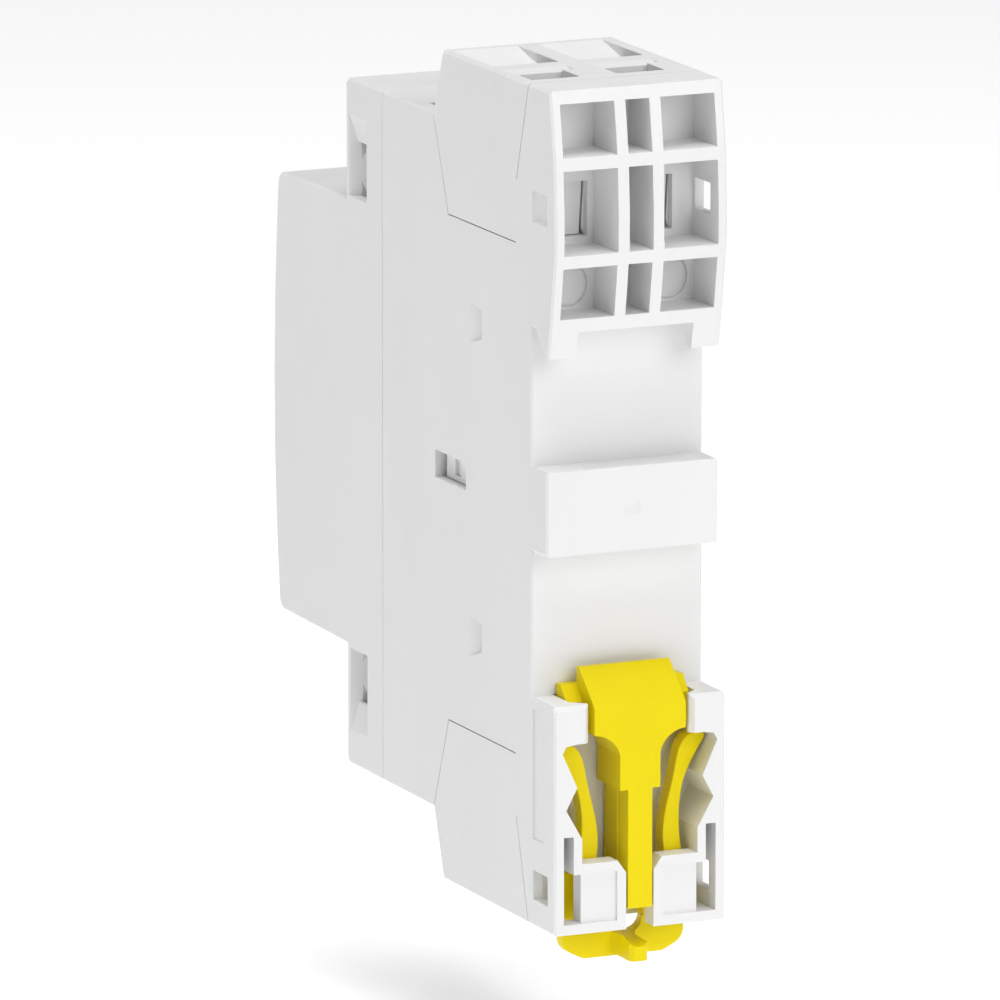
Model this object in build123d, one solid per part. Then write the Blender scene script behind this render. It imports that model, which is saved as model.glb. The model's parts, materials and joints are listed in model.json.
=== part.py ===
from build123d import *
import math
import os

# Modular contactor for a 35 mm top-hat rail, two poles, two 9 mm modules wide.
# Frame: origin at the middle of the rail seat, on the plane that the rail's back rests on.
# X is the width, +Y points at the rail, -Y is the front of the device, +Z is up.
# All sizes are in millimetres.

# ---- overall sizes
WIDTH = 18.0
TOP_Z = 40.8
BOTTOM_Z = -41.1
SHOULDER_Z = 34.4
NOSE_TOP_Z = 22.45
NOSE_BOTTOM_Z = -22.4
NOSE_DRAFT = 0.25
REAR_Y = 5.5
CLIP_REAR_Y = 5.4
SHOULDER_FRONT_Y = -44.3
SEAM_Y = -35.5
NOSE_CORNER_Y = -61.2
NOSE_FRONT_Y = -62.45
NOSE_CREST_Z = 5.0
WALL = 1.2
EDGE = 0.22
SEAM_GAP = 0.13
SEAM_DEPTH = 0.5
SHOULDER_RADIUS = 0.75
NOSE_RADIUS = 1.3

# ---- rail seat
RAIL_TOP_Z = 17.4
RAIL_BOTTOM_Z = -18.7
HOOK_TIP_Z = 14.85
HOOK_TIP_Y = 3.0
HOOK_ROOT_Y = 0.65
HOOK_INNER_X = 6.0
RIB_TOP_Z = 3.8
RIB_BOTTOM_Z = -4.4
RIB_Y = 3.5
RIB_DIMPLE_SPHERE = 2.1
RIB_DIMPLE_DEPTH = 0.25

# ---- terminal covers, which close the upper and lower wire entries
COVER_FOOT_Z = 24.9
COVER_FOOT_FRONT_Y = -19.55
COVER_FRONT_Y = -23.2
COVER_TOP_FRONT_Y = -20.9
COVER_REAR_Y = -3.66
COVER_REAR_BEND_Z = 31.1
COVER_REAR_BEND_Y = -3.45
COVER_REAR_TOP_Y = -0.6
COVER_CEILING_Z = 30.0
COVER_REAR_WALL = 1.25

# ---- pockets in the back of the block above the rail
POCKET_ROWS = [(34.43, 39.53), (25.03, 33.2), (18.76, 23.8)]
POCKET_COLUMNS = [(2.4, 8.05), (-1.25, 1.25), (-8.05, -2.4)]
WINDOW_BOTTOM_Z = 25.75
WINDOW_TOP_Z = 31.1
WINDOW_OFFSET = 1.38
WINDOW_WIDTH = 3.48
WINDOW_DEPTH = 0.9
SLIT_DEPTH = 2.2
RING_X = 5.26
RING_Z = 21.15
RING_RADIUS = 1.95
RING_WIDTH = 0.25

# ---- poles and wire entries
POLE_PITCH = 8.9
PARTITION = 1.2
FUNNEL_INNER = 3.0
FUNNEL_OUTER = 3.75
FUNNEL_FRONT_Y = -20.0
FUNNEL_REAR_Y = -10.5
RAMP_END_Y = -15.3
RAMP_DEPTH = 1.0
FUNNEL_DROP = 2.6
WIRE_HALF_X = 2.75
LIP_FRONT_Y = -8.3
TEST_HOLE_FRONT_Y = -6.3
TEST_HOLE_REAR_Y = -2.3
TEST_HOLE_INNER = 1.5
TEST_HOLE_OUTER = 3.5
TEST_HOLE_DEPTH = 5.0
TEST_HOLE_STEP_Y = -3.2
TEST_HOLE_DEEP = 9.0
LIP_DROP = 0.2
LIP_MARGIN = 1.2

# ---- power terminals: a box clamp climbs its captive screw towards the front
POWER_SCREW_Z = 25.2
POWER_HEAD_RADIUS = 2.35
POWER_HEAD_FRONT_Y = -29.0
POWER_HEAD_LENGTH = 2.2
POWER_THREAD_RADIUS = 1.75
POWER_TIP_Y = -17.75
THREAD_PITCH = 0.7
THREAD_DEPTH = 0.22
HEAD_CHAMFER = 0.25
CAGE_CORNER = 0.35
POWER_CAGE_HALF_X = 3.1
POWER_CAGE_HEIGHT = 6.4
POWER_CAGE_FRONT_Y = -20.0
POWER_CAGE_REAR_Y = -9.4
POWER_NUT_WALL = 2.0
CAGE_WALL = 1.0
POWER_TRAVEL = 3.85
CONDUCTOR_THICKNESS = 1.2
CONDUCTOR_HALF_X = 1.8
CONDUCTOR_OVERHANG = 0.6
CONDUCTOR_RUN_Z = 19.0
CONDUCTOR_END_Z = 5.8
CHAMBER_REAR_Y = -4.9
CHAMBER_FOOT_Z = 21.6

# ---- coil terminals
COIL_X = 4.5
COIL_SCREW_Z = 31.2
COIL_HEAD_RADIUS = 1.85
COIL_HEAD_FRONT_Y = -35.3
COIL_HEAD_LENGTH = 1.6
COIL_THREAD_RADIUS = 1.25
COIL_TIP_Y = -28.15
COIL_CAGE_HALF_X = 2.6
COIL_CAGE_HEIGHT = 4.0
COIL_CAGE_FRONT_Y = -29.8
COIL_CAGE_REAR_Y = -23.4
COIL_NUT_WALL = 1.3
COIL_CAGE_WALL = 0.6
COIL_TRAVEL = 2.4
LEAD_THICKNESS = 0.5
LEAD_OUTER_X = 7.75
COIL_ENTRY_FRONT_Y = -27.6
COIL_ENTRY_REAR_Y = -23.6
COIL_ENTRY_HALF_X = 2.9
COIL_ROOM_BELOW = 1.0
LEAD_RUN = 2.4
LEAD_FOOT = 0.7
LEAD_REACH = 3.0

# ---- fits
SCREW_CLEARANCE = 0.1
NUT_CLEARANCE = 0.08
SLIDE_CLEARANCE = 0.2
STRIP_GAP = 0.1
FORMER_GAP = 0.15
PIN_CLEARANCE = 0.03

# ---- magnet
CAVITY_HALF_Z = 20.4
CAVITY_FLOOR_Y = -1.5
CORE_BACK_Y = -3.0
CORE_YOKE = 4.0
CORE_POLE_Y = -20.0
CORE_HALF_X = 4.8
CORE_HALF_Z = 14.0
CORE_LIMB = 3.0
CENTRE_LIMB_HALF_Z = 3.0
STROKE = 3.0
ARMATURE_LIMB = 2.5
ARMATURE_YOKE = 3.5
PAD_THICKNESS = 1.5
BOBBIN_WALL = 0.5
POLE_SETBACK = 1.5
FLANGE_THICKNESS = 1.0
FLANGE_HALF_X = 7.25
RETURN_SPRING_Z = CORE_HALF_Z + 2.6
FLANGE_HALF_Z = RETURN_SPRING_Z + 2.0
ARM_PLATE_HALF_Z = FLANGE_HALF_Z - 0.4
WINDING_HALF_X = 6.8
WINDING_HALF_Z = CORE_HALF_Z - CORE_LIMB - 0.8
SHIELD_GAP = 0.55
SHIELD_PAD_X = 8.0
SHIELD_STEP = 2.05
STEP_WIDTH = 1.37
STEP_DEPTH = 0.35
SHIELD_REAR_Y = -8.5
SHIELD_HALF_Z = 9.0
SHADING_WIDTH = 0.8
SHADING_DEPTH = 1.2

# ---- contacts and their carrier
SUPPORT_FRONT_Y = -37.4
SUPPORT_THICKNESS = 2.6
TIP_RADIUS = 1.5
TIP_THICKNESS = 1.0
TIP_Z = 7.5
CONTACT_GAP = 2.2
BRIDGE_TIP_THICKNESS = 0.8
BRIDGE_THICKNESS = 1.2
BRIDGE_HALF_Z = 9.2
BRIDGE_HALF_X = 1.9
WINDOW_HALF_X = 2.1
WINDOW_SPRING_ROOM = 4.8
CARRIER_HALF_X = 7.3
CARRIER_HALF_Z = 3.2
CARRIER_WALL = 1.4
CARRIER_SEAT = 1.2
SPRING_PEG = 1.6
STALK_HALF_X = 1.2
CHEEK_RUN = 2.2
FLAG_DEPTH = 2.0
FLAG_GAP = 0.6
CONTACT_CORNER = 0.8
TIP_CORNER = 0.3
NECK_HALF_X = 4.6
CHEEK_OUTER_X = 6.6
ARM_PLATE_THICKNESS = 1.5
PIN_RADIUS = 1.0
FLAG_HALF_X = 1.8
SPRING_WIRE_RADIUS = 0.22
CONTACT_SPRING_RADIUS = 1.3
RETURN_SPRING_RADIUS = 1.35

# ---- front of the nose
STATE_WINDOW_Z = 14.5
STATE_WINDOW_HALF_X = 2.4
STATE_WINDOW_HALF_Z = 2.2
LENS_Z = 19.0
LENS_RADIUS = 1.2
LABEL_TOP_Z = 8.5
LABEL_BOTTOM_Z = -15.5
LABEL_HALF_X = 7.6
LABEL_BED = 0.6
LABEL_GAP = 0.1
LABEL_EDGE = 0.3
LENS_LIP = 0.5
LENS_FLANGE = 0.7
LENS_STAND = 0.9

GRIP_FLOOR_X = 7.3
GRIP_RAMP_Z = 28.1
GRIP_TOP_Z = 30.8
SIDE_WINDOW_FRONT_Y = -22.75
SIDE_WINDOW_REAR_Y = -15.4
SIDE_WINDOW_BOTTOM_Z = -1.5
SIDE_WINDOW_TOP_Z = 1.25
DENT_FRONT_Y = -14.6
DENT_REAR_Y = -11.6
DENT_DEPTH = 0.95
GRIP_FRONT_Y = -43.5
GRIP_BEND_Y = -42.75
GRIP_REAR_Y = -39.25
GRIP_RAMP_DEPTH = 0.81

# ---- rail clip
CLIP_Y = 5.45
CLIP_FLOOR_Y = 0.1
CLIP_HEAD_HALF_X = 4.78
CLIP_HEAD_TOP_Z = -15.8
CLIP_HEAD_BEVEL_Y = 1.7
CLIP_HEAD_BEVEL_Z = -19.2
CLIP_CATCH_Y = 1.15
CLIP_EDGE_Z = -17.5
CLIP_EAR_HALF_X = 6.45
CLIP_EAR_Y = 2.5
CLIP_EAR_DROP = 1.5
CLIP_HEAD_BOTTOM_Z = -21.8
STEM_WIDE_HALF_X = 2.12
STEM_HALF_X = 1.27
STEM_RIB_HALF_X = 1.34
STEM_STEP_Z = -27.4
STEM_END_Z = -39.1
RIB_BACK_Y = 3.1
HANDLE_HALF_X = 6.4
HANDLE_TOP_Z = -36.0
HANDLE_BOTTOM_Z = -44.6
HANDLE_Y = 1.5
HANDLE_CORNER = 2.2
HANDLE_RADIUS = 1.6
LUG_HALF_X = 0.95
LUG_BACK_Y = 5.4
LUG_TOP_Z = -42.2
LUG_BOTTOM_Z = -44.4
LUG_CHAMFER = 0.35
TROUGH_RADIUS = 1.45
TROUGH_FRONT_X = -0.7
TROUGH_FRONT_Z = -40.9
TROUGH_BACK_Z = -41.53
ARM_BACK_Y = 3.2
ARM_TIP_X = 7.75
CLIP_SLOT_HALF_X = 1.45
HOUSING_FLOOR_Y = -0.25
TAB_INNER_X = 5.3
TAB_BOTTOM_Z = -22.45
TAB_BEVEL = 0.45
GUIDE_X = 6.63
GUIDE_Y = 3.4
TAB_LIP_Y = 4.53
BOX_TOP_Z = -35.25
BOX_BOTTOM_Z = -40.13
PANEL_OUTER_X = 6.1
SIDE_SLOT_TOP_Z = -31.5
SIDE_SLOT_INNER_X = 6.95
SIDE_SLOT_OUTER_X = 8.0

HALF = WIDTH / 2
INNER_X = HALF - WALL
FREE = 30.0
PAST = 0.1
SUNK = 0.5
POLES = {"1": (1, 1), "3": (-1, 1), "2": (1, -1), "4": (-1, -1)}


def box(x0, x1, y0, y1, z0, z1):
    """A block between two corners."""
    low = (min(x0, x1), min(y0, y1), min(z0, z1))
    size = (abs(x1 - x0), abs(y1 - y0), abs(z1 - z0))
    return Pos(*low) * Box(*size, align=(Align.MIN, Align.MIN, Align.MIN))


def prism_x(points, x0, x1):
    """A side profile given as (y, z), drawn across the width from x0 to x1."""
    outline = Polyline(*[(x0, y, z) for y, z in points], close=True)
    return extrude(make_face(outline), amount=x1 - x0, dir=(1, 0, 0))


def prism_y(points, y0, y1):
    """A back view outline given as (x, z), drawn through the depth from y0 to y1."""
    outline = Polyline(*[(x, y0, z) for x, z in points], close=True)
    return extrude(make_face(outline), amount=y1 - y0, dir=(0, 1, 0))


def prism_z(points, z0, z1):
    """A plan outline given as (x, y), drawn upwards from z0 to z1."""
    outline = Polyline(*[(x, y, z0) for x, y in points], close=True)
    return extrude(make_face(outline), amount=z1 - z0, dir=(0, 0, 1))


def rod_y(x, z, radius, y0, y1):
    """A round bar along the depth."""
    return Pos(x, (y0 + y1) / 2, z) * Rot(90, 0, 0) * Cylinder(radius, abs(y1 - y0))


def rod_x(y, z, radius, x0, x1):
    """A round bar across the width."""
    return Pos((x0 + x1) / 2, y, z) * Rot(0, 90, 0) * Cylinder(radius, abs(x1 - x0))


def lower(shape):
    """The same shape for the lower half of the device."""
    return mirror(shape, about=Plane.XY)


def other_side(shape):
    """The same shape on the other side of the middle plane."""
    return mirror(shape, about=Plane.YZ)


def both_sides(shape):
    """A shape with its mirror image across the middle plane."""
    return shape + other_side(shape)


def on_line(point, start, end):
    """True where a point of the side view lies on the line from start to end."""
    along_y = end[0] - start[0]
    along_z = end[1] - start[1]
    length = math.hypot(along_y, along_z)
    step_y = point.Y - start[0]
    step_z = point.Z - start[1]
    off = abs(step_y * along_z - step_z * along_y) / length
    share = (step_y * along_y + step_z * along_z) / length**2
    return off < 0.01 and -0.01 < share < 1.01


def soft_sides(solid, seams):
    """Break the outline edges of both side faces of a prism, save those that meet another moulding."""
    faces = solid.faces().sort_by(Axis.X)
    edges = faces[0].edges() + faces[-1].edges()
    free = [e for e in edges if not any(on_line(e.center(), start, end) for start, end in seams)]
    return chamfer(free, EDGE)


def seam_groove(start, end):
    """A fine groove in both side faces, on the left of the line from start to end."""
    along_y = end[0] - start[0]
    along_z = end[1] - start[1]
    length = math.hypot(along_y, along_z)
    off_y = -along_z / length * SEAM_GAP
    off_z = along_y / length * SEAM_GAP
    corners = [start, end, (end[0] + off_y, end[1] + off_z), (start[0] + off_y, start[1] + off_z)]
    return both_sides(prism_x(corners, HALF - SEAM_DEPTH, HALF + 1))


def pole_x(side):
    """Centre of the pole on one side of the middle partition."""
    return side * POLE_PITCH / 2


# ---------------------------------------------------------------- mouldings

def cover_outline(top_z):
    """Side outline of a terminal cover that ends at top_z, as if it were the upper one."""
    return [
        (COVER_FRONT_Y, SHOULDER_Z),
        (COVER_FOOT_FRONT_Y, COVER_FOOT_Z),
        (COVER_REAR_Y, COVER_FOOT_Z),
        (COVER_REAR_BEND_Y, COVER_REAR_BEND_Z),
        (COVER_REAR_TOP_Y, top_z),
        (COVER_TOP_FRONT_Y, top_z),
    ]


def cover_seams(top_z):
    """Lines of the side view where a terminal cover meets the base, as if it were the upper one."""
    points = cover_outline(top_z)[:5]
    return list(zip(points, points[1:]))


def front_seam():
    """Line of the side view where the front cover meets the base."""
    return (SEAM_Y, SHOULDER_Z), (SEAM_Y, -SHOULDER_Z)


def funnel_x(side):
    """Sides of one wire funnel; all funnels sit the same way round their pole."""
    centre = pole_x(side)
    return centre - FUNNEL_INNER, centre + FUNNEL_OUTER


def wire_entry(side, top_z):
    """Everything cut through a terminal cover for one pole."""
    x0, x1 = funnel_x(side)
    centre = pole_x(side)
    ramp = prism_x(
        [
            (FUNNEL_FRONT_Y, top_z),
            (RAMP_END_Y, top_z - RAMP_DEPTH),
            (FUNNEL_REAR_Y, top_z - RAMP_DEPTH - FUNNEL_DROP),
            (FUNNEL_REAR_Y, top_z + 1),
            (FUNNEL_FRONT_Y, top_z + 1),
        ],
        x0,
        x1,
    )
    passage = box(
        centre - WIRE_HALF_X, centre + WIRE_HALF_X, RAMP_END_Y, FUNNEL_REAR_Y, COVER_CEILING_Z - 1, top_z
    )
    hole_x0 = centre - TEST_HOLE_INNER
    hole_x1 = centre + TEST_HOLE_OUTER
    hole = box(hole_x0, hole_x1, TEST_HOLE_FRONT_Y, TEST_HOLE_REAR_Y, top_z - TEST_HOLE_DEPTH, top_z + 1)
    well = box(hole_x0, hole_x1, TEST_HOLE_FRONT_Y, TEST_HOLE_STEP_Y, top_z - TEST_HOLE_DEEP, top_z)
    lip = prism_x(
        [
            (LIP_FRONT_Y, top_z),
            (TEST_HOLE_FRONT_Y, top_z - LIP_DROP),
            (TEST_HOLE_FRONT_Y, top_z + 1),
            (LIP_FRONT_Y, top_z + 1),
        ],
        hole_x0 - LIP_MARGIN,
        hole_x1 + EDGE,
    )
    return ramp + passage + hole + well + lip


def terminal_cover(top_z):
    """A terminal cover with its funnels and the room for the box clamps."""
    seams = cover_seams(top_z)
    cover = soft_sides(prism_x(cover_outline(top_z), -HALF, HALF), seams)
    for side in (1, -1):
        room = box(
            side * PARTITION / 2,
            side * INNER_X,
            COVER_FRONT_Y - 1,
            COVER_REAR_Y - COVER_REAR_WALL,
            COVER_FOOT_Z - 1,
            COVER_CEILING_Z,
        )
        cover = cover - room - wire_entry(side, top_z)
    cover = cover - seam_groove(*seams[0]) - seam_groove(*seams[1]) - seam_groove(*seams[3])
    return cover - box(
        -HALF,
        HALF,
        COVER_REAR_TOP_Y - SEAM_GAP,
        COVER_REAR_TOP_Y,
        top_z - SEAM_DEPTH,
        top_z + 1,
    )


def floor_window(side):
    """Shallow window in the floor of a middle back pocket, with a leaning slit in its own floor."""
    x0 = pole_x(side) - WINDOW_OFFSET
    floor = HOUSING_FLOOR_Y - WINDOW_DEPTH
    window = box(x0, x0 + WINDOW_WIDTH, floor, FREE, WINDOW_BOTTOM_Z, WINDOW_TOP_Z)
    slit = prism_y(
        [
            (x0, WINDOW_TOP_Z),
            (x0 + 0.2, WINDOW_TOP_Z),
            (x0 + 0.48, WINDOW_BOTTOM_Z + 0.7),
            (x0 + 0.48, WINDOW_BOTTOM_Z),
            (x0, WINDOW_BOTTOM_Z),
            (x0 + 0.26, WINDOW_BOTTOM_Z + 0.8),
        ],
        floor - SLIT_DEPTH,
        floor + PAST,
    )
    gap_top = box(x0, x0 + WINDOW_WIDTH, floor - 4 * PAST, floor + PAST, WINDOW_TOP_Z - PAST, WINDOW_TOP_Z)
    gap_foot = box(
        x0,
        x0 + WINDOW_WIDTH,
        floor - 4 * PAST,
        floor + PAST,
        WINDOW_BOTTOM_Z,
        WINDOW_BOTTOM_Z + PAST,
    )
    return window + slit + gap_top + gap_foot


def pocket_ring(side):
    """Fine ring moulded in the floor of a lowest back pocket."""
    x = side * RING_X
    groove = rod_y(x, RING_Z, RING_RADIUS + RING_WIDTH, HOUSING_FLOOR_Y - RING_WIDTH, 1)
    return groove - rod_y(x, RING_Z, RING_RADIUS, HOUSING_FLOOR_Y - 1, 2)


def side_profile():
    """Side profile of the base housing, from the front seam round to the rail side."""
    upper = cover_outline(TOP_Z)
    lower_cover = [(y, -z) for y, z in cover_outline(-BOTTOM_Z)]
    return (
        [(SEAM_Y, -SHOULDER_Z), (SEAM_Y, SHOULDER_Z)]
        + upper[:5]
        + [
            (4.2, TOP_Z),
            (5.2, SHOULDER_Z),
            (REAR_Y, 29.0),
            (REAR_Y, 25.4),
            (4.6, 19.4),
            (3.8, HOOK_TIP_Z),
            (HOOK_TIP_Y, HOOK_TIP_Z),
            (HOOK_ROOT_Y, RAIL_TOP_Z),
            (0, RAIL_TOP_Z),
            (0, RIB_TOP_Z),
            (RIB_Y, RIB_TOP_Z),
            (RIB_Y, RIB_BOTTOM_Z),
            (0, RIB_BOTTOM_Z),
            (0, RAIL_BOTTOM_Z),
            (CLIP_REAR_Y - TAB_BEVEL, RAIL_BOTTOM_Z),
            (CLIP_REAR_Y, RAIL_BOTTOM_Z - TAB_BEVEL),
            (CLIP_REAR_Y, BOTTOM_Z),
        ]
        + lower_cover[4::-1]
    )


def back_pockets():
    """Grid of pockets in the block above the rail, with its floor windows and rings."""
    cut = None
    for z0, z1 in POCKET_ROWS:
        for x0, x1 in POCKET_COLUMNS:
            pocket = box(x0, x1, HOUSING_FLOOR_Y, FREE, z0, z1)
            cut = pocket if cut is None else cut + pocket
    for side in (1, -1):
        cut = cut + floor_window(side) + pocket_ring(side)
    return cut


def clip_bay():
    """The bay that the rail clip slides in, below the rail."""
    upper = prism_z(
        [
            (TAB_INNER_X + TAB_BEVEL, FREE),
            (TAB_INNER_X + TAB_BEVEL, CLIP_REAR_Y),
            (TAB_INNER_X, CLIP_REAR_Y - TAB_BEVEL),
            (TAB_INNER_X, TAB_LIP_Y),
            (GUIDE_X, GUIDE_Y),
            (GUIDE_X, HOUSING_FLOOR_Y),
            (-GUIDE_X, HOUSING_FLOOR_Y),
            (-GUIDE_X, GUIDE_Y),
            (-TAB_INNER_X, TAB_LIP_Y),
            (-TAB_INNER_X, CLIP_REAR_Y - TAB_BEVEL),
            (-TAB_INNER_X - TAB_BEVEL, CLIP_REAR_Y),
            (-TAB_INNER_X - TAB_BEVEL, FREE),
        ],
        TAB_BOTTOM_Z - PAST,
        RAIL_BOTTOM_Z + PAST,
    )
    notches = [
        (GUIDE_X, TAB_BOTTOM_Z),
        (7.75, -22.6),
        (8.15, -23.3),
        (6.6, -26.7),
        (7.75, -28.87),
        (6.08, -31.8),
        (6.08, -34.26),
        (2.33, -34.26),
        (CLIP_SLOT_HALF_X, -35.5),
        (CLIP_SLOT_HALF_X, BOTTOM_Z - 1),
    ]
    outline = notches + [(-x, z) for x, z in reversed(notches)]
    bay = upper + prism_y(outline, HOUSING_FLOOR_Y, FREE)
    handle_room = box(-GUIDE_X, GUIDE_X, HOUSING_FLOOR_Y, GUIDE_Y, BOTTOM_Z - 1, -34.0)
    panel = box(2.38, PANEL_OUTER_X, CLIP_REAR_Y - 0.3, FREE, BOX_BOTTOM_Z, BOX_TOP_Z)
    side_slot = box(SIDE_SLOT_INNER_X, SIDE_SLOT_OUTER_X, 0, FREE, BOX_BOTTOM_Z, SIDE_SLOT_TOP_Z)
    wide_slot = box(PANEL_OUTER_X, SIDE_SLOT_OUTER_X, HOUSING_FLOOR_Y, FREE, BOX_BOTTOM_Z, BOX_TOP_Z)
    return bay + handle_room + both_sides(panel + side_slot + wide_slot)


def side_details():
    """Recesses, windows and the label panel in the side walls of the base housing."""
    front = DENT_FRONT_Y
    rear = DENT_REAR_Y
    upper_dent = prism_x([(front, 13.3), (front, 17.26), (rear, 17.0), (rear, 14.1)], INNER_X, HALF + 1)
    lower_dent = prism_x([(front, -13.7), (front, -17.6), (rear, -16.7), (rear, -13.85)], INNER_X, HALF + 1)
    floor = [(HALF + 1, front), (HALF, front), (HALF - DENT_DEPTH, rear), (HALF + 1, rear)]
    dents = (upper_dent + lower_dent) & prism_z(floor, -FREE, FREE)
    coil_window = box(
        INNER_X - 1,
        HALF + 1,
        SIDE_WINDOW_FRONT_Y,
        SIDE_WINDOW_REAR_Y,
        SIDE_WINDOW_BOTTOM_Z,
        SIDE_WINDOW_TOP_Z,
    )
    upper_window = box(HALF - 2, HALF + 1, 0.15, 3.6, 27.6, 30.65)
    lower_window = box(HALF - 1.5, HALF + 1, 0.42, 3.83, -38.5, -35.6)
    label = box(HALF - 0.12, HALF + 1, 0.42, 2.75, -32.5, -19.8)
    return both_sides(dents + coil_window + upper_window + lower_window) + label


def terminal_rooms():
    """Rooms, screw bores and the coil terminal pocket of the upper half of the base."""
    cut = None
    for side in (1, -1):
        centre = pole_x(side)
        room = box(
            side * PARTITION / 2,
            side * INNER_X,
            POWER_CAGE_FRONT_Y - POWER_TRAVEL - SLIDE_CLEARANCE,
            CHAMBER_REAR_Y,
            CHAMBER_FOOT_Z,
            COVER_CEILING_Z,
        )
        bore = rod_y(
            centre,
            POWER_SCREW_Z,
            POWER_HEAD_RADIUS + SCREW_CLEARANCE,
            -FREE - 10,
            POWER_HEAD_FRONT_Y + POWER_HEAD_LENGTH,
        )
        shank = rod_y(
            centre,
            POWER_SCREW_Z,
            POWER_THREAD_RADIUS + SCREW_CLEARANCE,
            -FREE,
            POWER_CAGE_FRONT_Y,
        )
        slot = box(
            centre - CONDUCTOR_HALF_X - STRIP_GAP,
            centre + CONDUCTOR_HALF_X + STRIP_GAP,
            POWER_TIP_Y - STRIP_GAP,
            POWER_TIP_Y + CONDUCTOR_THICKNESS + STRIP_GAP,
            CAVITY_HALF_Z - 1,
            CHAMBER_FOOT_Z + 1,
        )
        pole = room + bore + shank + slot
        cut = pole if cut is None else cut + pole
    return cut + coil_pocket()


def coil_pocket():
    """Pocket, screw bore and wire entry of the coil terminal, with the slot for its lead."""
    foot_z = COIL_SCREW_Z - COIL_CAGE_HEIGHT / 2 - COIL_ROOM_BELOW
    pocket = box(
        COIL_X - COIL_CAGE_HALF_X - SLIDE_CLEARANCE,
        INNER_X,
        COIL_CAGE_FRONT_Y - COIL_TRAVEL - SLIDE_CLEARANCE,
        COIL_CAGE_REAR_Y + SLIDE_CLEARANCE,
        foot_z,
        COIL_SCREW_Z + COIL_CAGE_HEIGHT / 2 + SLIDE_CLEARANCE,
    )
    entry = box(
        COIL_X - COIL_ENTRY_HALF_X,
        COIL_X + COIL_ENTRY_HALF_X,
        COIL_ENTRY_FRONT_Y,
        COIL_ENTRY_REAR_Y,
        COIL_SCREW_Z,
        SHOULDER_Z + 1,
    )
    bore = rod_y(
        COIL_X,
        COIL_SCREW_Z,
        COIL_HEAD_RADIUS + SCREW_CLEARANCE,
        -FREE - 10,
        COIL_HEAD_FRONT_Y + COIL_HEAD_LENGTH,
    )
    shank = rod_y(COIL_X, COIL_SCREW_Z, COIL_THREAD_RADIUS + SCREW_CLEARANCE, -FREE - 5, COIL_CAGE_FRONT_Y)
    lead_slot = box(
        LEAD_OUTER_X - LEAD_THICKNESS - STRIP_GAP / 2,
        INNER_X,
        COIL_TIP_Y - STRIP_GAP / 2,
        COIL_TIP_Y + LEAD_RUN + 2 * STRIP_GAP,
        CAVITY_HALF_Z - 1,
        foot_z + 1,
    )
    return pocket + entry + bore + shank + lead_slot


def base_housing():
    """The base moulding: terminal rooms, coil cavity, rail seat and clip bay."""
    upper_seams = cover_seams(TOP_Z)
    lower_seams = [((y0, -z0), (y1, -z1)) for (y0, z0), (y1, z1) in cover_seams(-BOTTOM_Z)]
    base = soft_sides(prism_x(side_profile(), -HALF, HALF), upper_seams + lower_seams + [front_seam()])
    base = base - box(-INNER_X, INNER_X, SEAM_Y - 1, CAVITY_FLOOR_Y, -CAVITY_HALF_Z, CAVITY_HALF_Z)
    rooms = terminal_rooms()
    base = base - rooms - lower(rooms)
    base = base - back_pockets() - clip_bay() - side_details()
    notch = box(-HOOK_INNER_X, HOOK_INNER_X, 0, FREE, 0, RAIL_TOP_Z)
    keep_rib = box(-HALF, HALF, -1, RIB_Y, RIB_BOTTOM_Z, RIB_TOP_Z)
    base = base - (notch - keep_rib)
    dimple_y = RIB_Y - RIB_DIMPLE_DEPTH + RIB_DIMPLE_SPHERE
    dimple = Pos(0, dimple_y, (RIB_TOP_Z + RIB_BOTTOM_Z) / 2) * Sphere(RIB_DIMPLE_SPHERE)
    return base - dimple - front_groove()


def front_groove():
    """The fine groove all round the seam between the base and the front cover."""
    slab = box(-HALF - 1, HALF + 1, SEAM_Y, SEAM_Y + SEAM_GAP, -SHOULDER_Z - 1, SHOULDER_Z + 1)
    inner_x = HALF - SEAM_DEPTH
    inner_z = SHOULDER_Z - SEAM_DEPTH
    return slab - box(-inner_x, inner_x, SEAM_Y - 1, SEAM_Y + 1, -inner_z, inner_z)


def front_face():
    """Side outline of the front cover with its crowned, round-cornered nose."""
    top = NOSE_TOP_Z
    bottom = NOSE_BOTTOM_Z
    lines = Polyline(
        (0, NOSE_CORNER_Y, bottom + NOSE_DRAFT),
        (0, SHOULDER_FRONT_Y, bottom),
        (0, SHOULDER_FRONT_Y, -SHOULDER_Z),
        (0, SEAM_Y, -SHOULDER_Z),
        (0, SEAM_Y, SHOULDER_Z),
        (0, SHOULDER_FRONT_Y, SHOULDER_Z),
        (0, SHOULDER_FRONT_Y, top),
        (0, NOSE_CORNER_Y, top - NOSE_DRAFT),
    )
    crown = ThreePointArc(
        (0, NOSE_CORNER_Y, top - NOSE_DRAFT),
        (0, NOSE_FRONT_Y, NOSE_CREST_Z),
        (0, NOSE_CORNER_Y, bottom + NOSE_DRAFT),
    )
    face = make_face(lines.edges() + crown.edges())
    solid = extrude(face, amount=HALF, both=True, dir=(1, 0, 0))
    corners = solid.edges().filter_by(Axis.X)
    nose = [e for e in corners if e.center().Y < NOSE_CORNER_Y + 0.1]
    solid = fillet(nose, NOSE_RADIUS)
    corners = solid.edges().filter_by(Axis.X)
    shoulders = [
        e
        for e in corners
        if abs(e.center().Y - SHOULDER_FRONT_Y) < 0.1 and abs(e.center().Z) > SHOULDER_Z - 0.1
    ]
    return fillet(shoulders, SHOULDER_RADIUS)


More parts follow.
